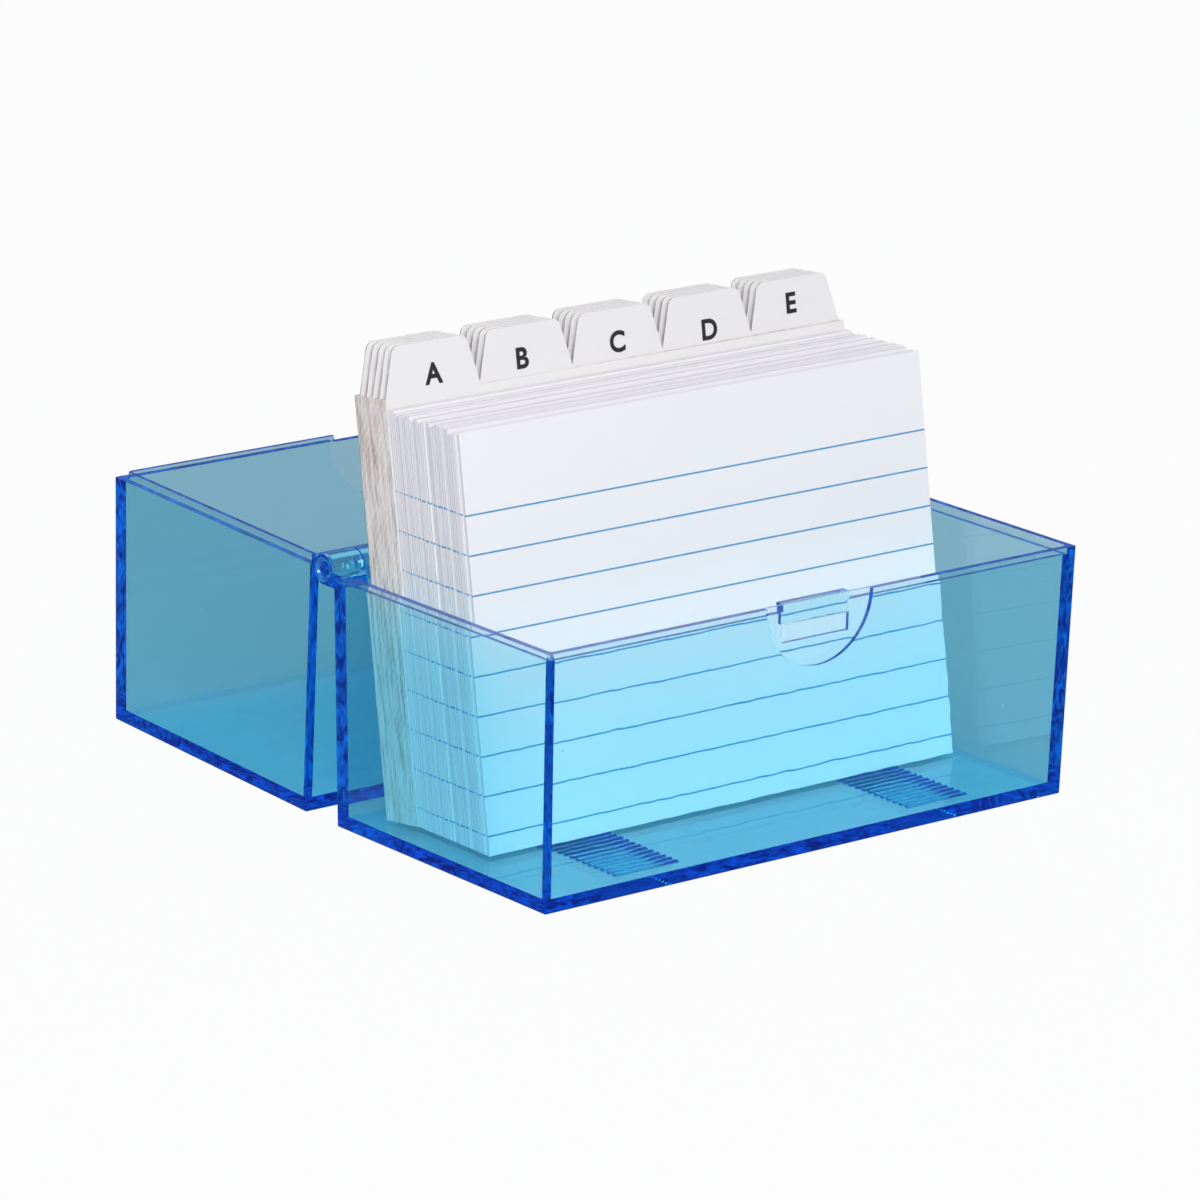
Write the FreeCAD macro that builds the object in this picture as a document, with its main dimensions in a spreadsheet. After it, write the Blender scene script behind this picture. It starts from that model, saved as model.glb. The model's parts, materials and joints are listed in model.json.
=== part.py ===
"""Hinged box for A7 index cards: two clear moulded shells, a hinge pin, lettered guides and ruled cards.

The frame is in millimetres, with +Z up, +X to the right along the hinge, and the tray's front towards -Y.
The origin is the middle of the tray's underside. The box lies open: the lid lies behind the tray, turned
over about the hinge until its stop, so its far end stands a little off the table.
"""
import FreeCAD
import Part
import math
import os
import re

# Driving dimensions
SIZES = (
    # Ruled cards
    ("card_width", 105.0),
    ("card_height", 74.0),
    ("card_thickness", 0.19),
    ("card_shift", 1.3),
    ("card_jitter", 0.12),
    ("pack_count", 25),
    # Lettered guides
    ("guide_rise", 1.4),
    ("guide_thickness", 0.24),
    ("guide_fan", 2.0),
    ("guide_shift", 1.0),
    ("tab_height", 9.2),
    ("tab_slope", 2.5),
    ("tab_corner", 1.8),
    ("tab_columns", 5),
    # Stack: the air between two sheets, the room under their feet, the lean in degrees, the room behind it
    ("sheet_gap", 0.01),
    ("foot_clearance", 0.1),
    ("lean", 9.5),
    ("lean_gap", 0.1),
    # Both shells, measured at the rim, with the room that they leave beside and above the cards
    ("side_room", 5.3),
    ("head_room", 3.5),
    ("shell_depth", 61.0),
    ("wall", 2.2),
    ("floor_thickness", 2.2),
    ("draft_inset", 0.8),
    ("edge_round", 0.35),
    # Rim: the tray's step and the lid's lip that drops into it
    ("rim_ledge", 1.3),
    ("step_depth", 1.4),
    ("lip_height", 1.2),
    ("lip_clearance", 0.1),
    ("lip_corner", 1.5),
    ("step_corner", 0.8),
    # Thumb notch and catch in the front walls
    ("notch_radius", 12.0),
    ("notch_depth", 0.9),
    ("catch_width", 15.2),
    ("catch_height", 3.8),
    ("catch_reach", 0.8),
    ("pocket_height", 3.3),
    ("pocket_depth", 0.6),
    ("finger_width", 8.0),
    ("finger_thickness", 0.9),
    ("finger_length", 6.0),
    ("finger_clearance", 0.4),
    ("finger_root", 6.0),
    ("root_setback", 0.3),
    # Hinge
    ("pin_radius", 1.5),
    ("pin_clearance", 0.05),
    ("head_rim", 0.5),
    ("head_thickness", 0.8),
    ("head_clearance", 0.1),
    ("barrel_wall", 1.2),
    ("barrel_clearance", 0.2),
    ("end_knuckle", 6.8),
    ("centre_knuckle", 28.0),
    ("knuckle_gap", 0.3),
    ("open_tilt", 2.2),
    # Grip ribs on the tray's floor, in two patches
    ("rib_radius", 0.55),
    ("rib_height", 0.4),
    ("rib_length", 14.0),
    ("rib_pitch", 1.7),
    ("rib_front", 6.5),
    ("rib_back", 10.3),
    ("patch_offset", 33.4),
    # Extra length of every cutter
    ("overrun", 1.0),
)
GUIDE_LETTERS = "ABCDEFGHIJKLMNOPQRSTUVWXY"
CARD_PACKS = ("ruled_cards_rear", "ruled_cards_middle", "ruled_cards_near")

# Sizes that follow from the driving ones
HALF_WIDTH = "(card_width/2 + side_room + wall)"
HALF_DEPTH = "(shell_depth/2)"
GUIDE_HEIGHT = "(card_height + guide_rise)"
RIM = f"(floor_thickness + (rib_height + foot_clearance + {GUIDE_HEIGHT} + tab_height + head_room)/2)"
BORE_RADIUS = "(pin_radius + pin_clearance)"
BARREL_RADIUS = f"({BORE_RADIUS} + barrel_wall)"
HINGE_GAP = f"(2*({BARREL_RADIUS} + barrel_clearance))"
HINGE_Y = f"({HALF_DEPTH} + {HINGE_GAP}/2)"
HEAD_RADIUS = "(pin_radius + head_rim)"
TAB_WIDTH = "(card_width/tab_columns)"
CARD_PITCH = "(card_thickness + sheet_gap)"
GUIDE_PITCH = "(guide_thickness + sheet_gap)"

doc = FreeCAD.newDocument("card_box")
sheet = doc.addObject("Spreadsheet::Sheet", "Sizes")
for row, (alias, number) in enumerate(SIZES, 1):
    sheet.set(f"A{row}", alias)
    sheet.set(f"B{row}", str(number))
    sheet.setAlias(f"B{row}", alias)
doc.recompute()

ALIASES = {alias for alias, number in SIZES}
X_AXIS = FreeCAD.Vector(1, 0, 0)
Z_AXIS = FreeCAD.Vector(0, 0, 1)
ALONG_X = FreeCAD.Rotation(FreeCAD.Vector(0, 1, 0), 90)
UPRIGHT = FreeCAD.Rotation(X_AXIS, 90)
STRAIGHT_SHARE = 0.999
sub_parts = []


def size(formula):
    """The number that a formula in the sheet's aliases gives."""
    text = re.sub(r"[a-z_]+", lambda word: str(float(sheet.get(word[0]))), formula)
    return FreeCAD.Units.parseQuantity(text).Value


def bind(part, **formulas):
    """Ties properties of a part to formulas written in the sheet's aliases."""
    for path, formula in formulas.items():
        text = re.sub(r"[a-z_]+", lambda word: f"Sizes.{word[0]}" if word[0] in ALIASES else word[0], formula)
        part.setExpression(path.replace("__", "."), text)
    return part


def put(part, x="0", y="0", z="0"):
    """Ties a part's place to formulas."""
    return bind(part, Placement__Base__x=x, Placement__Base__y=y, Placement__Base__z=z)


def block(label, x, y, z, length, width, height):
    """A box from its lowest corner."""
    part = doc.addObject("Part::Box", label)
    bind(part, Length=length, Width=width, Height=height)
    return put(part, x, y, z)


def rod(label, x, y, z, radius, length, turn=ALONG_X):
    """A cylinder that starts at a point and runs along +X, or the way that turn sends +Z."""
    part = doc.addObject("Part::Cylinder", label)
    part.Placement = FreeCAD.Placement(FreeCAD.Vector(), turn)
    bind(part, Radius=radius, Height=length)
    return put(part, x, y, z)


def tapered(label, low, high, inset_low, inset_high):
    """A block with drafted sides, given by how far they stand inside the shell's rim, low and high."""
    part = doc.addObject("Part::Wedge", label)
    part.Placement = FreeCAD.Placement(FreeCAD.Vector(), UPRIGHT)
    bind(part, Ymin=low, Ymax=high,
         Xmin=f"{inset_low} - {HALF_WIDTH}", Xmax=f"{HALF_WIDTH} - ({inset_low})",
         X2min=f"{inset_high} - {HALF_WIDTH}", X2max=f"{HALF_WIDTH} - ({inset_high})",
         Zmin=f"{inset_low} - {HALF_DEPTH}", Zmax=f"{HALF_DEPTH} - ({inset_low})",
         Z2min=f"{inset_high} - {HALF_DEPTH}", Z2max=f"{HALF_DEPTH} - ({inset_high})")
    return part


def rounded(label, part, edges, radius):
    """A part with some of its edges rounded, named by their numbers."""
    doc.recompute()
    fillet = doc.addObject("Part::Fillet", label)
    fillet.Base = part
    fillet.Edges = [(number, size(radius), size(radius)) for number in edges]
    return fillet


def edges_where(part, test):
    """The numbers of the edges that pass a test."""
    doc.recompute()
    return [number for number, edge in enumerate(part.Shape.Edges, 1) if test(edge)]


def runs_up(edge):
    """Whether an edge runs straight up."""
    return edge.BoundBox.ZLength > edge.BoundBox.DiagonalLength * STRAIGHT_SHARE


def fuse(label, parts):
    part = doc.addObject("Part::MultiFuse", label)
    part.Shapes = parts
    part.Refine = True
    return part


def cut(label, base, tools):
    part = doc.addObject("Part::Cut", label)
    part.Base = base
    part.Tool = tools[0] if len(tools) == 1 else fuse(f"{label}_tools", tools)
    part.Refine = True
    return part


def finish(part, node):
    """Names a finished piece as a sub-part of the box."""
    part.Label = node
    sub_parts.append(part)


# Shells

def shell_walls(name, rim_cuts):
    """Floor and four drafted walls, with the thumb notch in the outside of the front wall."""
    sharp = tapered(f"{name}_sharp", "0", RIM, "draft_inset", "0")
    below_rim = edges_where(sharp, lambda edge: edge.BoundBox.ZMin < size("edge_round"))
    outer = rounded(f"{name}_outer", sharp, below_rim, "edge_round")
    cavity = tapered(f"{name}_cavity", "floor_thickness", f"{RIM} + overrun",
                     f"wall + draft_inset*(1 - floor_thickness/{RIM})", f"wall - draft_inset*overrun/{RIM}")
    notch = rod(f"{name}_notch", "0", f"notch_depth - {HALF_DEPTH}", RIM, "notch_radius",
                "notch_depth + overrun", UPRIGHT)
    return cut(f"{name}_walls", outer, [cavity, notch] + rim_cuts)


def knuckles(name, spans):
    """Hinge barrels on the rim's level, each with the web that joins it to the rear wall."""
    pieces = []
    for number, (start, length) in enumerate(spans, 1):
        pieces.append(rod(f"{name}_barrel_{number}", start, HINGE_Y, RIM, BARREL_RADIUS, length))
        pieces.append(block(f"{name}_web_{number}", start, f"{HALF_DEPTH} - wall/2",
                            f"{RIM} - {BARREL_RADIUS}", length, f"wall/2 + {HINGE_GAP}/2", BARREL_RADIUS))
    return pieces


def hinge_bore(name):
    """The bore through every barrel of one shell."""
    return rod(f"{name}_bore", f"-{HALF_WIDTH} - overrun", HINGE_Y, RIM, BORE_RADIUS,
               f"2*({HALF_WIDTH} + overrun)")


def grip_ribs():
    """Low round ribs across the floor, in two patches, that stop the cards' feet from sliding."""
    ribs = []
    for side, centre in (("left", "-patch_offset"), ("right", "patch_offset")):
        for number in range(int(size("(shell_depth - rib_front - rib_back)/rib_pitch")) + 1):
            ribs.append(rod(f"rib_{side}_{number + 1}", f"{centre} - rib_length/2",
                            f"rib_front - {HALF_DEPTH} + {number}*rib_pitch",
                            "floor_thickness + rib_height - rib_radius", "rib_radius", "rib_length"))
    return ribs


def build_tray():
    step = block("tray_step_sharp", f"rim_ledge - {HALF_WIDTH}", f"rim_ledge - {HALF_DEPTH}",
                 f"{RIM} - step_depth", f"2*({HALF_WIDTH} - rim_ledge)", "shell_depth - 2*rim_ledge",
                 "step_depth + overrun")
    step = rounded("tray_step", step, edges_where(step, runs_up), "step_corner")
    walls = shell_walls("tray", [step])
    spans = [(f"-{HALF_WIDTH}", "end_knuckle"), ("-centre_knuckle/2", "centre_knuckle"),
             (f"{HALF_WIDTH} - end_knuckle", "end_knuckle")]
    catch = block("tray_catch", "-catch_width/2", f"rim_ledge - {HALF_DEPTH}", f"{RIM} - catch_height",
                  "catch_width", "wall - rim_ledge + catch_reach", "catch_height")
    solid = fuse("tray_solid", [walls, catch] + knuckles("tray", spans) + grip_ribs())
    pocket = block("tray_pocket", "-catch_width/2", f"wall - pocket_depth - {HALF_DEPTH}",
                   f"{RIM} - catch_height - pocket_height", "catch_width", "pocket_depth + overrun",
                   "pocket_height")
    seat_length = "head_thickness + head_clearance + overrun"
    seat_radius = f"{HEAD_RADIUS} + head_clearance"
    seats = [rod(f"tray_head_seat_{side}", start, HINGE_Y, RIM, seat_radius, seat_length)
             for side, start in (("left", f"-{HALF_WIDTH} - overrun"),
                                 ("right", f"{HALF_WIDTH} - head_thickness - head_clearance"))]
    finish(cut("tray_finished", solid, [hinge_bore("tray"), pocket] + seats), "base_tray")


def lid_place():
    """The lid lies behind the tray, turned about the hinge to its stop."""
    behind = FreeCAD.Placement(FreeCAD.Vector(0, 2 * size(HINGE_Y), 0), FreeCAD.Rotation(Z_AXIS, 180))
    hinge = FreeCAD.Vector(0, size(HINGE_Y), size(RIM))
    tilt = FreeCAD.Placement(FreeCAD.Vector(), FreeCAD.Rotation(X_AXIS, size("open_tilt")), hinge)
    return tilt.multiply(behind)


def lip_ring():
    """The lip that stands on the inner half of the lid's rim and leaves the thumb notch free."""
    inset = "(rim_ledge + lip_clearance)"
    ring = block("lip_sharp", f"{inset} - {HALF_WIDTH}", f"{inset} - {HALF_DEPTH}", f"{RIM} - step_depth",
                 f"2*({HALF_WIDTH} - {inset})", f"shell_depth - 2*{inset}", "step_depth + lip_height")
    ring = rounded("lip_outer", ring, edges_where(ring, runs_up), "lip_corner")
    hollow = block("lip_inner", f"wall - {HALF_WIDTH}", f"wall - {HALF_DEPTH}",
                   f"{RIM} - step_depth - overrun", f"2*({HALF_WIDTH} - wall)", "shell_depth - 2*wall",
                   "step_depth + lip_height + 2*overrun")
    gap = block("lip_gap", "-notch_radius", f"-{HALF_DEPTH}", RIM, "2*notch_radius", "2*wall",
                "lip_height + overrun")
    return cut("lip_ring", ring, [hollow, gap])


def catch_finger():
    """The finger that drops behind the tray's catch when the lid is shut, and the root that carries it."""
    reach = "(wall + catch_reach + finger_clearance)"
    finger = block("finger_blade", "-finger_width/2", f"{reach} - {HALF_DEPTH}", f"{RIM} - finger_root",
                   "finger_width", "finger_thickness", "finger_root + finger_length")
    root = block("finger_root_block", "-finger_width/2", f"wall/2 - {HALF_DEPTH}", f"{RIM} - finger_root",
                 "finger_width", f"{reach} - wall/2 + finger_thickness", "finger_root - root_setback")
    return [finger, root]


def build_lid():
    start = "(end_knuckle + knuckle_gap)"
    length = f"({HALF_WIDTH} - end_knuckle - centre_knuckle/2 - 2*knuckle_gap)"
    spans = [(f"{start} - {HALF_WIDTH}", length), ("centre_knuckle/2 + knuckle_gap", length)]
    solid = fuse("lid_solid", [shell_walls("lid", []), lip_ring()] + catch_finger() + knuckles("lid", spans))
    lid = cut("lid_finished", solid, [hinge_bore("lid")])
    lid.Placement = lid_place()
    finish(lid, "lid")


def build_pin():
    """A plain pin with a flat head sunk into each end barrel."""
    shaft = rod("pin_shaft", f"head_thickness/2 - {HALF_WIDTH}", HINGE_Y, RIM, "pin_radius",
                f"2*{HALF_WIDTH} - head_thickness")
    heads = [rod(f"pin_head_{side}", start, HINGE_Y, RIM, HEAD_RADIUS, "head_thickness")
             for side, start in (("left", f"-{HALF_WIDTH}"), ("right", f"{HALF_WIDTH} - head_thickness"))]
    finish(fuse("pin_finished", [shaft] + heads), "hinge_pin")


# Stack

LEAN = math.radians(size("lean"))
FOOT_Z = size("floor_thickness + rib_height + foot_clearance")
LEAN_HEIGHT = size(f"{RIM} - step_depth") - FOOT_Z
STACK_BACK_Y = size(f"{HALF_DEPTH} - wall - lean_gap") - LEAN_HEIGHT * math.tan(LEAN)
GUIDES_FRONT_Y = STACK_BACK_Y - len(GUIDE_LETTERS) * size(GUIDE_PITCH) / math.cos(LEAN)
PACK_STEP_Y = size(f"pack_count*{CARD_PITCH}") / math.cos(LEAN)


def leaned(x, front_y, depth):
    """The place of a sheet whose foot is depth behind its pack's front, measured square to the sheets."""
    return FreeCAD.Placement(FreeCAD.Vector(x, front_y + depth / math.cos(LEAN), FOOT_Z),
                             FreeCAD.Rotation(X_AXIS, -size("lean")))


def build_guide(number, letter):
    """A card with one trapezoid tab, in the column that its letter has."""
    plain = block(f"guide_sheet_{letter}", "-card_width/2", "0", "0", "card_width", "guide_thickness",
                  GUIDE_HEIGHT)
    tab = doc.addObject("Part::Wedge", f"guide_wedge_{letter}")
    tab.Placement = FreeCAD.Placement(FreeCAD.Vector(), UPRIGHT)
    bind(tab, Xmin="0", Xmax=TAB_WIDTH, X2min="tab_slope", X2max=f"{TAB_WIDTH} - tab_slope", Ymin="0",
         Ymax="tab_height", Zmin="0", Zmax="guide_thickness", Z2min="0", Z2max="guide_thickness")
    column = number % int(size("tab_columns"))
    put(tab, f"{column}*{TAB_WIDTH} - card_width/2", "guide_thickness", GUIDE_HEIGHT)
    top = size(f"{GUIDE_HEIGHT} + tab_height")
    corners = edges_where(tab, lambda edge: edge.BoundBox.ZMin > top - size("tab_corner")
                          and edge.Length < size("2*guide_thickness"))
    tab = rounded(f"guide_tab_{letter}", tab, corners, "tab_corner")
    guide = fuse(f"guide_fused_{letter}", [plain, tab])
    slide = size("guide_shift") - size("guide_fan") * number / (len(GUIDE_LETTERS) - 1)
    guide.Placement = leaned(slide, GUIDES_FRONT_Y, number * size(GUIDE_PITCH))
    finish(guide, f"guide_{letter.lower()}")


def card(label, front_y, number):
    """One ruled card of a pack. The cards lie a hair to one side or the other of each other."""
    part = doc.addObject("Part::Box", label)
    bind(part, Length="card_width", Width="card_thickness", Height="card_height")
    jitter = size("card_jitter") * math.sin(number * number)
    part.Placement = leaned(size("card_shift - card_width/2") + jitter, front_y, number * size(CARD_PITCH))
    return part


def build_pack(node, front_y, numbers):
    pack = doc.addObject("Part::Compound", f"{node}_pack")
    pack.Links = [card(f"{node}_{number + 1}", front_y, number) for number in numbers]
    finish(pack, node)


def build_stack():
    for number, letter in enumerate(GUIDE_LETTERS):
        build_guide(number, letter)
    count = int(size("pack_count"))
    for place, node in enumerate(CARD_PACKS, 1):
        build_pack(node, GUIDES_FRONT_Y - place * PACK_STEP_Y, range(count))
    front_y = GUIDES_FRONT_Y - (len(CARD_PACKS) + 1) * PACK_STEP_Y
    build_pack("ruled_cards_front", front_y, range(1, count))
    finish(card("front_card_sheet", front_y, 0), "front_card")


def check_and_write():
    doc.recompute()
    failed = [part.Name for part in doc.Objects if "Invalid" in part.State or "Error" in part.State]
    if failed:
        raise RuntimeError(f"failed objects: {failed}")
    for part in sub_parts:
        if part.Shape.isNull() or not part.Shape.isValid() or not part.Shape.Solids:
            raise RuntimeError(f"{part.Label} has no valid solid")
    os.makedirs("parts", exist_ok=True)
    for part in sub_parts:
        part.Shape.exportStep(f"parts/{part.Label}.step")
        print(f"{part.Label}: {len(part.Shape.Solids)} solids, volume {part.Shape.Volume:.1f}, "
              f"{part.Shape.BoundBox}")


build_tray()
build_lid()
build_pin()
build_stack()
check_and_write()
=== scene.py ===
"""The open card box in its looks: clear blue plastic, lettered guides and ruled cards, on a white floor."""
import bpy
import json
import math
import random
from mathutils import Matrix, Vector


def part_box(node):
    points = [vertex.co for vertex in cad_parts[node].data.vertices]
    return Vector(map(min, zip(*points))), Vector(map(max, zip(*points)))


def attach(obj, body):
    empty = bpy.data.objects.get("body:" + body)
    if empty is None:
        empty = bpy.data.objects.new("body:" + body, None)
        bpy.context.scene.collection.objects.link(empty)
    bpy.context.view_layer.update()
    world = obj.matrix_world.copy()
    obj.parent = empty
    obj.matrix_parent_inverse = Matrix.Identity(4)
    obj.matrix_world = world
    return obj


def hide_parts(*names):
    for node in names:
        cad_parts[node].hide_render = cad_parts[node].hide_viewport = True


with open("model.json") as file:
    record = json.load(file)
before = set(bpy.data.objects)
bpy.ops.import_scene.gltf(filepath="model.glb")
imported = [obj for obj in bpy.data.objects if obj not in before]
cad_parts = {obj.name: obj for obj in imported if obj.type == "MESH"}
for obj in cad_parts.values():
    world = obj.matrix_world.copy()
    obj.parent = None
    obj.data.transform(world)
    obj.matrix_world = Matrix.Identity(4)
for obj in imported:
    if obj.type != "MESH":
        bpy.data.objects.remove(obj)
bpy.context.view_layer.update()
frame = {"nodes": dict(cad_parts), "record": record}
MM = 0.001
SEED = 7

# Camera, fitted to the photograph's 1200 by 1200 frame
FOCAL_PX = 6743.6
FRAME_PX = 1200.0
SENSOR_MM = 36.0
AZIMUTH = math.radians(39.01)
ELEVATION = math.radians(16.14)
ROLL = math.radians(1.24)
DISTANCE = 1218.78 * MM
AIM = Vector((0.11, 30.5, 31.71)) * MM
CLIP_START = 0.05
CLIP_END = 30.0

# The stack's layout, as the frame has it. The sheets rise along one direction and are stacked along the other
LEAN = math.radians(9.5)
ALONG = Vector((0.0, math.sin(LEAN), math.cos(LEAN)))
BACK = Vector((0.0, math.cos(LEAN), -math.sin(LEAN)))
FOOT = 2.7 * MM
CARD_HEIGHT = 74.0 * MM
CARD_WIDTH = 105.0 * MM
CARD_THICKNESS = 0.19 * MM
CARD_PITCH = 0.20 * MM
GUIDE_PITCH = 0.25 * MM

# The ruled lines
FIRST_LINE = 14.5 * MM
LINE_PITCH = 7.0 * MM
LINE_COUNT = 9
LINE_WIDTH = 0.31 * MM

# The printed letters
GUIDE_LETTERS = "ABCDEFGHIJKLMNOPQRSTUVWXY"
TAB_COLUMNS = 5
LETTER_HEIGHT = 3.9 * MM
LETTER_PROUD = 0.02 * MM
LETTER_BOLD = 0.16 * MM
LETTER_CENTRE = 78.6 * MM
CAPITAL_SHARE = 0.69
# How far the letters that the photograph shows are printed to the right of and above their proper place
LETTER_OFFSETS = {"A": (0.35 * MM, 0.16 * MM), "B": (-0.65 * MM, 0.05 * MM), "C": (0.16 * MM, -0.05 * MM),
                  "D": (0.71 * MM, -0.77 * MM), "E": (-0.5 * MM, 1.39 * MM)}

# The packs of ruled cards, with the number of cards in each, and how far bunches and sheets stand off
PACKS = {"ruled_cards_rear": 25, "ruled_cards_middle": 25, "ruled_cards_near": 25, "ruled_cards_front": 24}
BUNCH_SIZES = (2, 7)
BUNCH_DROP = 0.9 * MM
BUNCH_SHIFT = 0.13 * MM
SHEET_DROP = 0.12 * MM
SHEET_SHIFT = 0.05 * MM
# The last card of a bunch is thinner, which leaves a dark gap behind it
LAST_CARD_SHARE = 0.5

# The frayed fibres, in millimetres and radians
FIBRES_PER_GUIDE = 9
FIBRE_INSET = 0.03
FIBRE_DEPTHS = (0.06, 0.18)
FIBRE_WIDTHS = (0.03, 0.06)
FIBRE_LENGTHS = (0.15, 0.7)
FIBRE_TURN = 1.3
FIBRE_REACH = 0.8

# Plastic. Where a ray has been thrown back more often than the trapped depth, the plastic is drawn with a
# painted glow: an emission in deep blue that stands in for the light at its edges
PLASTIC_IOR = 1.49
PLASTIC_TINT = (0.92, 0.94, 0.97, 1.0)
PLASTIC_ABSORB = (0.0, 0.865, 0.982, 1.0)
PLASTIC_DENSITY = 185.0
PLASTIC_ROUGHEST = 0.03
TRAPPED_DEPTH = 2.5
PAINTED_EDGE_GLOW = ((0.38, (0.0, 0.035, 0.26, 1.0)), (0.56, (0.003, 0.15, 0.58, 1.0)),
             (0.74, (0.03, 0.24, 1.0, 1.0)))
SHADOW_TINT = (0.96, 0.965, 0.99, 1.0)
SPECKS_PER_METRE = 130.0
SPECK_RADIUS = 0.16 * MM
SPECK_PICK = 0.6
SPECK_COVER = 0.45
SPECK_COLOUR = (0.75, 0.85, 0.9, 1.0)

# Paper, board and ink
BUMP_DISTANCE = 0.2 * MM
EDGE_FACING = 0.7
PAPER_WHITE = (0.88, 0.865, 0.895, 1.0)
# Painted shade for the sheets' cut edges: a share by each sheet's random tone, and a share more on their top
# edges
PAPER_SHADE = (0.34, 0.35, 0.42, 1.0)
RULE_BLUE = (0.07, 0.31, 0.58, 1.0)
TONE_SHARE = 0.6
PAINTED_TOP_SHADE = 0.3
INK_FIBRE = 0.5
INK_LEAST = 0.72
BLEED_SHARE = 0.45
BOARD_WHITE = (0.84, 0.83, 0.84, 1.0)
BOARD_TORN = ((0.37, (0.20, 0.13, 0.09, 1.0)), (0.54, (0.73, 0.67, 0.65, 1.0)))
BOARD_STREAK = (1.0, 3.0, 0.16)
# Painted shade in the seams between the boards
SEAM_SHADE_COLOUR = (0.16, 0.13, 0.12, 1.0)
SEAM_WANDER = 1.6
SEAM_WIDTH = 0.3
SEAM_SHADE_DEPTH = 0.8
INK_BLACK = (0.012, 0.012, 0.014, 1.0)
INK_WORN = (0.035, 0.033, 0.035, 1.0)

# The backdrop as it is seen through the plastic, painted blue-grey as the shade that the plastic casts behind
# it; as it is mirrored from the dim front and the bright back of the studio and from the floor; and the light
# of the room
WHITE = (1.0, 1.0, 1.0, 1.0)
SHADED_BACKDROP_BEHIND = (0.31, 0.64, 0.79, 1.0)
MIRRORED_FRONT = (0.03, 0.04, 0.06, 1.0)
MIRRORED_BACK = (0.22, 0.27, 0.36, 1.0)
MIRRORED_FLOOR = (0.10, 0.12, 0.16, 1.0)
MIRROR_TURNS = (-0.1, 0.5)
ROOM_LIGHT = 0.42
FLOOR_COLOUR = (0.50, 0.53, 0.58, 1.0)
FLOOR_REACH = 6.0
FLOOR_DROP = 0.05 * MM
# How much of the floor is plain backdrop to the eye, and painted blue-grey shade through the plastic. The
# rest takes the shadow
PLAIN_TO_EYE = 0.96
PAINTED_SHADE_THROUGH = 0.3

# Lamps: name, place, side, power, and whether the plastic mirrors it
LAMP_AIM = Vector((0.0, 0.0, 0.04))
LAMPS = (("key", (-0.75, -1.35, 0.85), 0.9, 18.0, True),
         ("side", (-1.3, -0.45, 0.45), 0.8, 3.8, True),
         ("right", (1.3, -0.1, 0.55), 0.8, 2.5, False),
         ("back", (0.5, 1.5, 0.9), 0.9, 4.5, False),
         ("top", (0.0, 0.2, 1.6), 1.0, 1.6, True))


def node_tree(name):
    """A new material with its tree, its output and a Principled shader."""
    material = bpy.data.materials.new(name)
    material.use_nodes = True
    tree = material.node_tree
    tree.nodes.clear()
    output = tree.nodes.new("ShaderNodeOutputMaterial")
    shader = tree.nodes.new("ShaderNodeBsdfPrincipled")
    tree.links.new(shader.outputs["BSDF"], output.inputs["Surface"])
    return material, tree, output, shader


def add(tree, kind, **settings):
    """A node with its properties, or its sockets' values, set by name."""
    node = tree.nodes.new(kind)
    for key, setting in settings.items():
        if hasattr(node, key):
            setattr(node, key, setting)
        else:
            node.inputs[key.replace("_", " ")].default_value = setting
    return node


def feed(tree, socket, value):
    """Sets a socket to a value, or links it to another node's output."""
    if isinstance(value, (int, float, tuple)):
        socket.default_value = value
    else:
        tree.links.new(value, socket)


def math_node(tree, operation, first, second=None, clamp=False):
    """The result of a sum on one or two values, which are numbers or outputs."""
    node = add(tree, "ShaderNodeMath", operation=operation, use_clamp=clamp)
    feed(tree, node.inputs[0], first)
    if second is not None:
        feed(tree, node.inputs[1], second)
    return node.outputs[0]


def mix_colours(tree, factor, first, second):
    node = add(tree, "ShaderNodeMix", data_type="RGBA")
    for socket, value in ((node.inputs[0], factor), (node.inputs[6], first), (node.inputs[7], second)):
        feed(tree, socket, value)
    return node.outputs[2]


def mix_shaders(tree, factor, first, second):
    node = add(tree, "ShaderNodeMixShader")
    for socket, value in zip(node.inputs, (factor, first, second)):
        feed(tree, socket, value)
    return node.outputs["Shader"]


def split_xyz(tree, vector):
    node = add(tree, "ShaderNodeSeparateXYZ")
    tree.links.new(vector, node.inputs[0])
    return node.outputs


def noise(tree, vector, **settings):
    texture = add(tree, "ShaderNodeTexNoise", **settings)
    tree.links.new(vector, texture.inputs["Vector"])
    return texture.outputs["Fac"]


def map_range(tree, value, **ends):
    node = add(tree, "ShaderNodeMapRange", **ends)
    tree.links.new(value, node.inputs["Value"])
    return node.outputs["Result"]


def colour_ramp(tree, value, stops):
    """A colour by a value's place among the stops, which run from low to high."""
    node = add(tree, "ShaderNodeValToRGB")
    elements = node.color_ramp.elements
    while len(elements) < len(stops):
        elements.new(0.5)
    for element, (place, colour) in zip(elements, stops):
        element.position = place
        element.color = colour
    tree.links.new(value, node.inputs["Fac"])
    return node.outputs["Color"]


def bump(tree, shader, height, strength):
    node = add(tree, "ShaderNodeBump", Strength=strength, Distance=BUMP_DISTANCE)
    tree.links.new(height, node.inputs["Height"])
    tree.links.new(node.outputs["Normal"], shader.inputs["Normal"])


def sheet_tone(tree, place):
    """A random tone for each whole number of a place counted in sheets."""
    tone = add(tree, "ShaderNodeTexWhiteNoise", noise_dimensions="1D")
    tree.links.new(math_node(tree, "FLOOR", place), tone.inputs["W"])
    return tone.outputs["Value"]


def in_stack(tree, place):
    """How high a place lies above the sheets' foot, and how far back in the leaning stack."""
    rise = math_node(tree, "SUBTRACT", place["Z"], FOOT)
    return rise, math_node(tree, "SUBTRACT", place["Y"], math_node(tree, "MULTIPLY", rise, math.tan(LEAN)))


def cut_edge(tree, normal):
    """1 on the sheets' cut edges, and 0 on their faces."""
    return math_node(tree, "LESS_THAN", math_node(tree, "ABSOLUTE", normal["Y"]), EDGE_FACING)


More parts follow.
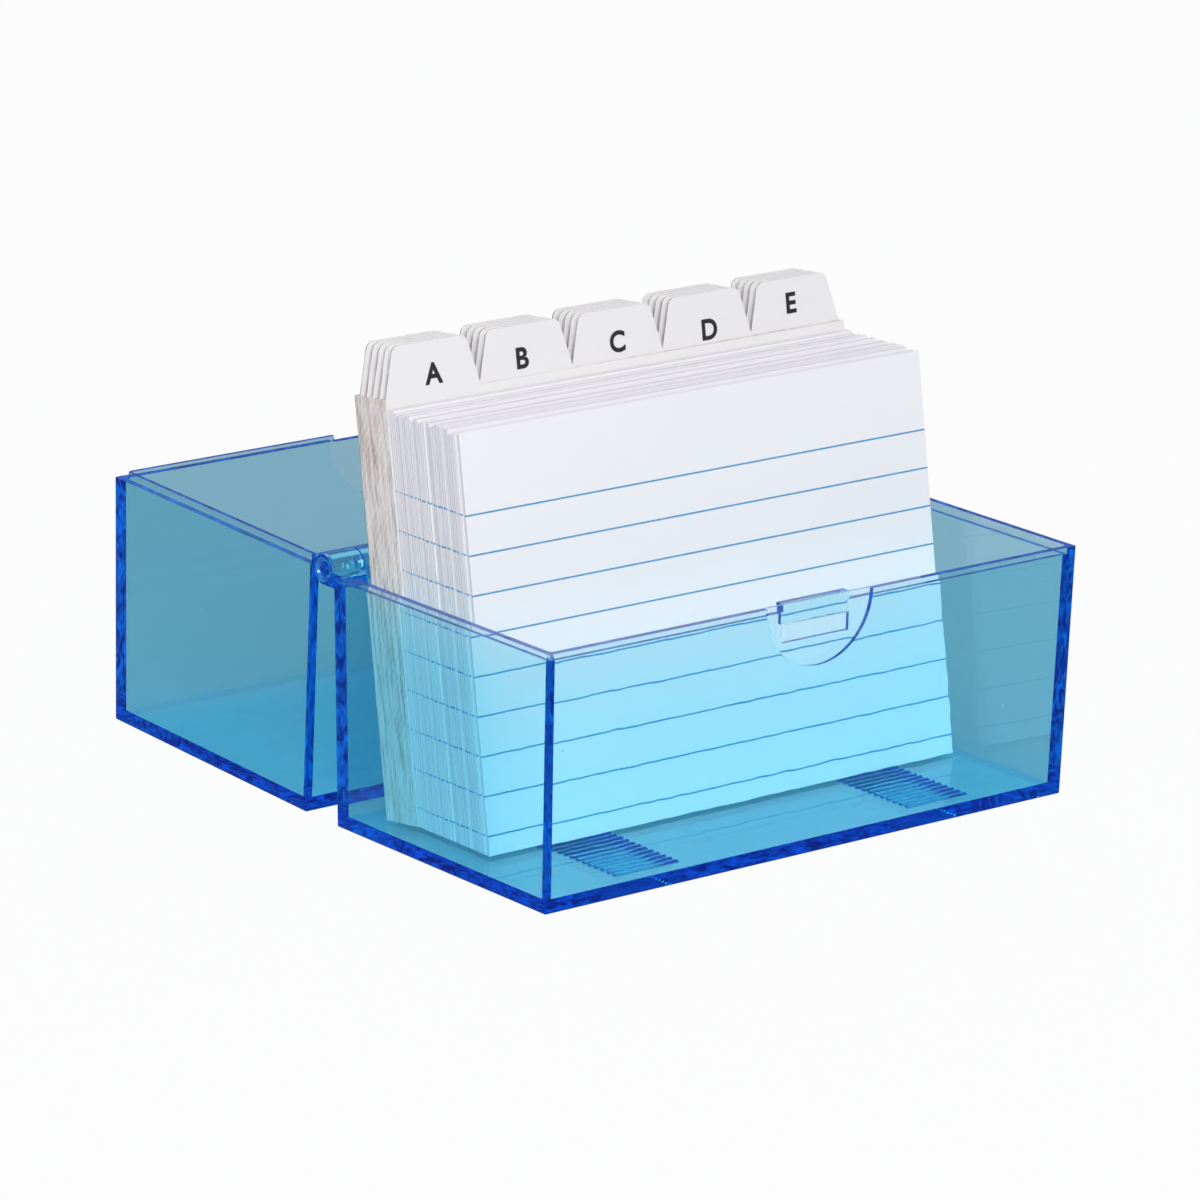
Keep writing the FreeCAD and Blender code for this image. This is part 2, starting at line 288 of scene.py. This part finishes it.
def clear_plastic(name):
    """Clear moulded plastic: a light tint at each face, an absorption that deepens along its edges, and a
    painted glow, an emission, where rays have been thrown back many times.
    """
    material, tree, output, shader = node_tree(name)
    shader.inputs["Base Color"].default_value = PLASTIC_TINT
    shader.inputs["Transmission Weight"].default_value = 1.0
    shader.inputs["IOR"].default_value = PLASTIC_IOR
    place = add(tree, "ShaderNodeTexCoord").outputs["Object"]
    rough = map_range(tree, noise(tree, place, Scale=900.0, Detail=2.0), To_Min=0.0, To_Max=PLASTIC_ROUGHEST)
    tree.links.new(rough, shader.inputs["Roughness"])
    # Moulded walls are never quite flat, so what lies behind them wavers a little
    bump(tree, shader, noise(tree, place, Scale=170.0, Detail=1.0), 0.16)
    volume = add(tree, "ShaderNodeVolumeAbsorption", Color=PLASTIC_ABSORB, Density=PLASTIC_DENSITY)
    tree.links.new(volume.outputs["Volume"], output.inputs["Volume"])
    # A few pale specks of dust and pits, a few tenths of a millimetre across
    cells = add(tree, "ShaderNodeTexVoronoi", Scale=SPECKS_PER_METRE)
    tree.links.new(place, cells.inputs["Vector"])
    inside = math_node(tree, "LESS_THAN", cells.outputs["Distance"], SPECK_RADIUS * SPECKS_PER_METRE)
    pick = add(tree, "ShaderNodeSeparateColor")
    tree.links.new(cells.outputs["Color"], pick.inputs["Color"])
    picked = math_node(tree, "GREATER_THAN", pick.outputs["Red"], SPECK_PICK)
    speck = math_node(tree, "MULTIPLY", inside, picked)
    dust = add(tree, "ShaderNodeBsdfDiffuse", Color=SPECK_COLOUR)
    dusty = mix_shaders(tree, math_node(tree, "MULTIPLY", speck, SPECK_COVER), shader.outputs["BSDF"],
                        dust.outputs["BSDF"])
    # Painted glow: where a ray has been thrown back more often than the trapped depth, the wall turns into an
    # emission in streaks of deep blue, which stands in for light trapped in the wall that comes out at its
    # edges
    path = add(tree, "ShaderNodeLightPath")
    painted_glow_mask = math_node(tree, "GREATER_THAN", path.outputs["Glossy Depth"], TRAPPED_DEPTH)
    streak = noise(tree, place, Scale=260.0, Detail=2.0, Distortion=1.5)
    painted_glow = add(tree, "ShaderNodeEmission", Strength=1.0)
    tree.links.new(colour_ramp(tree, streak, PAINTED_EDGE_GLOW), painted_glow.inputs["Color"])
    with_painted_glow = mix_shaders(tree, painted_glow_mask, dusty, painted_glow.outputs["Emission"])
    # Shadow rays pass the plastic as tinted light, so what lies behind it is lit
    clear = add(tree, "ShaderNodeBsdfTransparent", Color=SHADOW_TINT)
    mixed = mix_shaders(tree, path.outputs["Is Shadow Ray"], with_painted_glow, clear.outputs["BSDF"])
    tree.links.new(mixed, output.inputs["Surface"])
    return material


def ruled_paper(name):
    """White card stock ruled in blue. Its cut edges carry painted shade: a random tone for each sheet sets
    how deep it is and stands in for the shade between sheets, and the top edges are painted darker still.
    """
    material, tree, output, shader = node_tree(name)
    coords = add(tree, "ShaderNodeTexCoord")
    rise, depth = in_stack(tree, split_xyz(tree, coords.outputs["Object"]))
    height = math_node(tree, "DIVIDE", rise, math.cos(LEAN))
    from_top = math_node(tree, "SUBTRACT", CARD_HEIGHT - FIRST_LINE, height)
    step = math_node(tree, "DIVIDE", from_top, LINE_PITCH)
    nearest = math_node(tree, "ROUND", step)
    off = math_node(tree, "ABSOLUTE", math_node(tree, "SUBTRACT", step, nearest))
    on_line = math_node(tree, "LESS_THAN", off, LINE_WIDTH / LINE_PITCH / 2)
    below_head = math_node(tree, "GREATER_THAN", nearest, -0.5)
    above_foot = math_node(tree, "LESS_THAN", nearest, LINE_COUNT - 0.5)
    ruled = math_node(tree, "MULTIPLY", math_node(tree, "MULTIPLY", on_line, below_head), above_foot)
    fibre = noise(tree, coords.outputs["Object"], Scale=1400.0, Detail=3.0)
    worn = math_node(tree, "ADD", math_node(tree, "MULTIPLY", fibre, INK_FIBRE), INK_LEAST)
    ink = math_node(tree, "MULTIPLY", ruled, worn, True)
    # A random tone for each sheet, by its place through the stack. On the cut edges it sets the depth of a
    # painted shade that stands in for the shade between the sheets, and the top edges get more painted shade
    tone = sheet_tone(tree, math_node(tree, "DIVIDE", depth, CARD_PITCH / math.cos(LEAN)))
    normal = split_xyz(tree, coords.outputs["Normal"])
    on_edge = cut_edge(tree, normal)
    on_top = math_node(tree, "GREATER_THAN", normal["Z"], EDGE_FACING)
    painted_edge_shade = math_node(tree, "ADD", math_node(tree, "MULTIPLY", tone, TONE_SHARE),
                       math_node(tree, "MULTIPLY", on_top, PAINTED_TOP_SHADE))
    shade = math_node(tree, "MULTIPLY", on_edge, painted_edge_shade, True)
    # On a sheet's cut edge the ruled ink shows only where it bled over
    bled = math_node(tree, "GREATER_THAN", tone, BLEED_SHARE)
    kept = math_node(tree, "MAXIMUM", math_node(tree, "SUBTRACT", 1.0, on_edge), bled)
    ink = math_node(tree, "MULTIPLY", ink, kept)
    colour = mix_colours(tree, ink, mix_colours(tree, shade, PAPER_WHITE, PAPER_SHADE), RULE_BLUE)
    tree.links.new(colour, shader.inputs["Base Color"])
    shader.inputs["Roughness"].default_value = 0.75
    shader.inputs["Specular IOR Level"].default_value = 0.25
    bump(tree, shader, fibre, 0.08)
    return material


def guide_board(name):
    """White coated board with rough grey-brown cut edges, and painted shade in the seams between boards."""
    material, tree, output, shader = node_tree(name)
    coords = add(tree, "ShaderNodeTexCoord")
    on_edge = cut_edge(tree, split_xyz(tree, coords.outputs["Normal"]))
    # The streaks of torn fibre run along the leaning boards
    place = split_xyz(tree, coords.outputs["Object"])
    rise, depth = in_stack(tree, place)
    upright = add(tree, "ShaderNodeCombineXYZ")
    for axis, value in zip("XYZ", (place["X"], depth, place["Z"])):
        tree.links.new(value, upright.inputs[axis])
    stretch = add(tree, "ShaderNodeMapping", Scale=BOARD_STREAK)
    tree.links.new(upright.outputs["Vector"], stretch.inputs["Vector"])
    fleck = noise(tree, stretch.outputs["Vector"], Scale=700.0, Detail=5.0, Roughness=0.75)
    # The seam between each board's cut edge and the next one wanders, and is painted dark as the shade
    # between boards, deeper by a random tone for each board
    wander = noise(tree, coords.outputs["Object"], Scale=220.0, Detail=2.0)
    number = math_node(tree, "ADD", math_node(tree, "DIVIDE", depth, GUIDE_PITCH / math.cos(LEAN)),
                       math_node(tree, "MULTIPLY", wander, SEAM_WANDER))
    seam = math_node(tree, "LESS_THAN", math_node(tree, "FRACT", number), SEAM_WIDTH)
    tone = sheet_tone(tree, number)
    seam_shade = math_node(tree, "MULTIPLY", seam, math_node(tree, "MULTIPLY", tone, SEAM_SHADE_DEPTH))
    edge = mix_colours(tree, seam_shade, colour_ramp(tree, fleck, BOARD_TORN), SEAM_SHADE_COLOUR)
    tree.links.new(mix_colours(tree, on_edge, BOARD_WHITE, edge), shader.inputs["Base Color"])
    shader.inputs["Roughness"].default_value = 0.7
    shader.inputs["Specular IOR Level"].default_value = 0.3
    bump(tree, shader, noise(tree, coords.outputs["Object"], Scale=1200.0, Detail=3.0), 0.1)
    return material


def black_ink(name):
    """Printing ink that is worn a little unevenly."""
    material, tree, output, shader = node_tree(name)
    coords = add(tree, "ShaderNodeTexCoord")
    speck = noise(tree, coords.outputs["Object"], Scale=2500.0, Detail=3.0)
    tree.links.new(mix_colours(tree, speck, INK_BLACK, INK_WORN), shader.inputs["Base Color"])
    shader.inputs["Roughness"].default_value = 0.6
    return material


def dress(node, material):
    """Gives a CAD node its finish."""
    mesh = frame["nodes"][node].data
    if not mesh.materials:
        mesh.materials.append(material)
    for index in range(len(mesh.materials)):
        mesh.materials[index] = material


def body_of(node):
    """The body that a CAD node belongs to."""
    return next(body for body, nodes in frame["record"]["behaviour"]["bodies"].items() if node in nodes)


def add_object(name, data):
    """A new object in the scene."""
    item = bpy.data.objects.new(name, data)
    bpy.context.scene.collection.objects.link(item)
    return item


def add_mesh(name, vertices, faces, material):
    """A new mesh in the scene, in one material."""
    mesh = bpy.data.meshes.new(name)
    mesh.from_pydata(vertices, [], faces)
    mesh.materials.append(material)
    return add_object(name, mesh)


def add_letter(letter, number, ink):
    """A printed letter on the front face of its guide's tab."""
    node = f"guide_{letter.lower()}"
    low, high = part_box(node)
    text = bpy.data.curves.new(f"letter_curve_{letter.lower()}", "FONT")
    text.body = letter
    text.size = (LETTER_HEIGHT - 2 * LETTER_BOLD) / CAPITAL_SHARE
    text.offset = LETTER_BOLD
    text.align_x = "CENTER"
    maker = add_object(f"letter_maker_{letter.lower()}", text)
    bpy.context.view_layer.update()
    mesh = bpy.data.meshes.new_from_object(maker.evaluated_get(bpy.context.evaluated_depsgraph_get()))
    bpy.data.objects.remove(maker)
    xs = [vertex.co.x for vertex in mesh.vertices]
    ys = [vertex.co.y for vertex in mesh.vertices]
    mesh.transform(Matrix.Translation((-(min(xs) + max(xs)) / 2, -(min(ys) + max(ys)) / 2, 0.0)))
    # The front face starts at the guide's front foot, and leans back from it
    column = number % TAB_COLUMNS
    centre_x = (low.x + high.x) / 2 + (column + 0.5 - TAB_COLUMNS / 2) * CARD_WIDTH / TAB_COLUMNS
    aside, above = LETTER_OFFSETS.get(letter, (0.0, 0.0))
    front_foot = Vector((centre_x, low.y, FOOT))
    centre = front_foot + Vector((aside, 0.0, 0.0)) + ALONG * (LETTER_CENTRE + above) - BACK * LETTER_PROUD
    mesh.transform(Matrix.Translation(centre) @ Matrix.Rotation(math.radians(90) - LEAN, 4, "X"))
    piece = add_object(f"letter_{letter.lower()}", mesh)
    mesh.materials.clear()
    mesh.materials.append(ink)
    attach(piece, body_of(node))


def bunches(count, rng):
    """The number of cards in each bunch that was pushed down and aside together."""
    left = count
    while left > 0:
        bunch = min(left, rng.randint(*BUNCH_SIZES))
        yield bunch
        left -= bunch


def add_sheets(node, count, rng, material):
    """A pack's cards, in bunches that stand a little higher, lower or more to one side than each other."""
    low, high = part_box(node)
    left_x = (low.x + high.x) / 2 - CARD_WIDTH / 2
    vertices, faces = [], []
    number = 0
    for bunch in bunches(count, rng):
        drop = rng.uniform(0.0, BUNCH_DROP) ** 2 / BUNCH_DROP
        shift = rng.uniform(-BUNCH_SHIFT, BUNCH_SHIFT)
        for place in range(bunch):
            x = left_x + shift + rng.uniform(-SHEET_SHIFT, SHEET_SHIFT)
            last = place == bunch - 1
            thickness = CARD_THICKNESS * (LAST_CARD_SHARE if last else 1.0)
            foot = Vector((0.0, low.y + number * CARD_PITCH / math.cos(LEAN), FOOT))
            heights = [CARD_HEIGHT - drop - rng.uniform(0.0, SHEET_DROP) for side in range(2)]
            start = len(vertices)
            for deep in (0.0, thickness):
                for side, height in enumerate(heights):
                    across = Vector((x + side * CARD_WIDTH, 0.0, 0.0))
                    for up in (0.0, height):
                        vertices.append(foot + BACK * deep + ALONG * up + across)
            for face in ((0, 2, 3, 1), (4, 5, 7, 6), (0, 1, 5, 4), (2, 6, 7, 3), (1, 3, 7, 5), (0, 4, 6, 2)):
                faces.append([start + corner for corner in face])
            number += 1
    piece = add_mesh(f"{node}_sheets", vertices, faces, material)
    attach(piece, body_of(node))
    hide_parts(node)


def add_fibres(letter, rng, material):
    """Frayed fibres of board on a guide's left edge."""
    node = f"guide_{letter.lower()}"
    low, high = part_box(node)
    left_x = (low.x + high.x) / 2 - CARD_WIDTH / 2
    vertices, faces = [], []
    for fibre in range(FIBRES_PER_GUIDE):
        # Most of them near the corner under the tabs, where fingers pull the guides
        up = CARD_HEIGHT * (1.0 - FIBRE_REACH * rng.random() ** 2)
        corner = Vector((left_x + FIBRE_INSET * MM, low.y, FOOT))
        root = corner + ALONG * up + BACK * rng.uniform(*FIBRE_DEPTHS) * MM
        width = rng.uniform(*FIBRE_WIDTHS) * MM
        length = rng.uniform(*FIBRE_LENGTHS) * MM
        turn = rng.uniform(-FIBRE_TURN, FIBRE_TURN)
        tip = root + (Vector((-math.cos(turn), 0.0, 0.0)) + ALONG * math.sin(turn)) * length
        start = len(vertices)
        vertices += [root + ALONG * width, root - ALONG * width, root + BACK * width, tip]
        faces += [[start, start + 1, start + 2], [start, start + 3, start + 1],
                  [start + 1, start + 3, start + 2], [start + 2, start + 3, start]]
    piece = add_mesh(f"fibres_{letter.lower()}", vertices, faces, material)
    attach(piece, body_of(node))


def build_camera():
    """The camera as it was fitted to the photograph."""
    forward = Vector((math.sin(AZIMUTH) * math.cos(ELEVATION), math.cos(AZIMUTH) * math.cos(ELEVATION),
                      -math.sin(ELEVATION)))
    right = Vector((math.cos(AZIMUTH), -math.sin(AZIMUTH), 0.0))
    up = right.cross(forward)
    right_rolled = math.cos(ROLL) * right + math.sin(ROLL) * up
    up_rolled = math.cos(ROLL) * up - math.sin(ROLL) * right
    data = bpy.data.cameras.new("camera")
    data.sensor_width = SENSOR_MM
    data.sensor_fit = "HORIZONTAL"
    data.lens = FOCAL_PX * SENSOR_MM / FRAME_PX
    data.clip_start = CLIP_START
    data.clip_end = CLIP_END
    camera = add_object("camera", data)
    axes = Matrix((right_rolled, up_rolled, -forward)).transposed().to_4x4()
    camera.matrix_world = Matrix.Translation(AIM - forward * DISTANCE) @ axes
    bpy.context.scene.camera = camera


def studio_view(tree, mirrored):
    """White for the eye, a painted blue-grey shade through the plastic, and mirrored for reflections.

    Gives the colour, and the rays that see it: for the eye, for reflections and through the plastic."""
    path = add(tree, "ShaderNodeLightPath")
    eye, gloss, through = (path.outputs[f"Is {kind} Ray"] for kind in ("Camera", "Glossy", "Transmission"))
    colour = mix_colours(tree, gloss, WHITE, mirrored)
    return mix_colours(tree, through, colour, SHADED_BACKDROP_BEHIND), eye, gloss, through


def build_world():
    """The studio around the object. All rays that don't look at it meet the plain light of the room."""
    world = bpy.data.worlds.new("studio")
    bpy.context.scene.world = world
    world.use_nodes = True
    tree = world.node_tree
    direction = split_xyz(tree, add(tree, "ShaderNodeTexCoord").outputs["Generated"])
    towards_back = map_range(tree, direction["Y"], From_Min=MIRROR_TURNS[0], From_Max=MIRROR_TURNS[1])
    mirrored = mix_colours(tree, towards_back, MIRRORED_FRONT, MIRRORED_BACK)
    colour, eye, gloss, through = studio_view(tree, mirrored)
    seen = math_node(tree, "MAXIMUM", math_node(tree, "MAXIMUM", eye, gloss), through)
    room = (ROOM_LIGHT, ROOM_LIGHT, ROOM_LIGHT, 1.0)
    tree.links.new(mix_colours(tree, seen, room, colour), tree.nodes["Background"].inputs["Color"])


def build_floor():
    """A floor near white with a faint shadow to the eye, and with more shadow through the plastic."""
    material, tree, output, shader = node_tree("floor_white")
    shader.inputs["Base Color"].default_value = FLOOR_COLOUR
    shader.inputs["Roughness"].default_value = 0.9
    colour, eye, gloss, through = studio_view(tree, MIRRORED_FLOOR)
    plain = add(tree, "ShaderNodeEmission", Strength=1.0)
    tree.links.new(colour, plain.inputs["Color"])
    by_eye = math_node(tree, "MULTIPLY", eye, PLAIN_TO_EYE)
    by_gloss = math_node(tree, "MULTIPLY", gloss, math_node(tree, "SUBTRACT", 1.0, through))
    by_through = math_node(tree, "MULTIPLY", through, PAINTED_SHADE_THROUGH)
    plain_share = math_node(tree, "MAXIMUM", math_node(tree, "MAXIMUM", by_eye, by_gloss), by_through)
    mixed = mix_shaders(tree, plain_share, shader.outputs["BSDF"], plain.outputs["Emission"])
    tree.links.new(mixed, output.inputs["Surface"])
    corners = [(-FLOOR_REACH, -FLOOR_REACH, 0), (FLOOR_REACH, -FLOOR_REACH, 0), (FLOOR_REACH, FLOOR_REACH, 0),
               (-FLOOR_REACH, FLOOR_REACH, 0)]
    floor = add_mesh("floor", corners, [(0, 1, 2, 3)], material)
    floor.location.z = -FLOOR_DROP


def add_lamp(name, place, side, power, mirrored):
    """A square lamp that is turned towards the object."""
    data = bpy.data.lights.new(name, "AREA")
    data.shape = "SQUARE"
    data.size = side
    data.energy = power
    lamp = add_object(name, data)
    lamp.location = place
    lamp.visible_glossy = mirrored
    lamp.visible_transmission = mirrored
    lamp.rotation_euler = (LAMP_AIM - Vector(place)).to_track_quat("-Z", "Y").to_euler()


build_camera()
build_world()
build_floor()
for lamp in LAMPS:
    add_lamp(*lamp)

shell_plastic = clear_plastic("clear_blue_plastic")
paper = ruled_paper("ruled_paper")
board = guide_board("guide_board")
letter_ink = black_ink("letter_ink")
for shell in ("base_tray", "lid", "hinge_pin"):
    dress(shell, shell_plastic)
rng = random.Random(SEED)
dress("front_card", paper)
for pack, count in PACKS.items():
    add_sheets(pack, count, rng, paper)
for number, letter in enumerate(GUIDE_LETTERS):
    dress(f"guide_{letter.lower()}", board)
    add_letter(letter, number, letter_ink)
    add_fibres(letter, rng, board)

bpy.context.scene.view_settings.view_transform = "Standard"
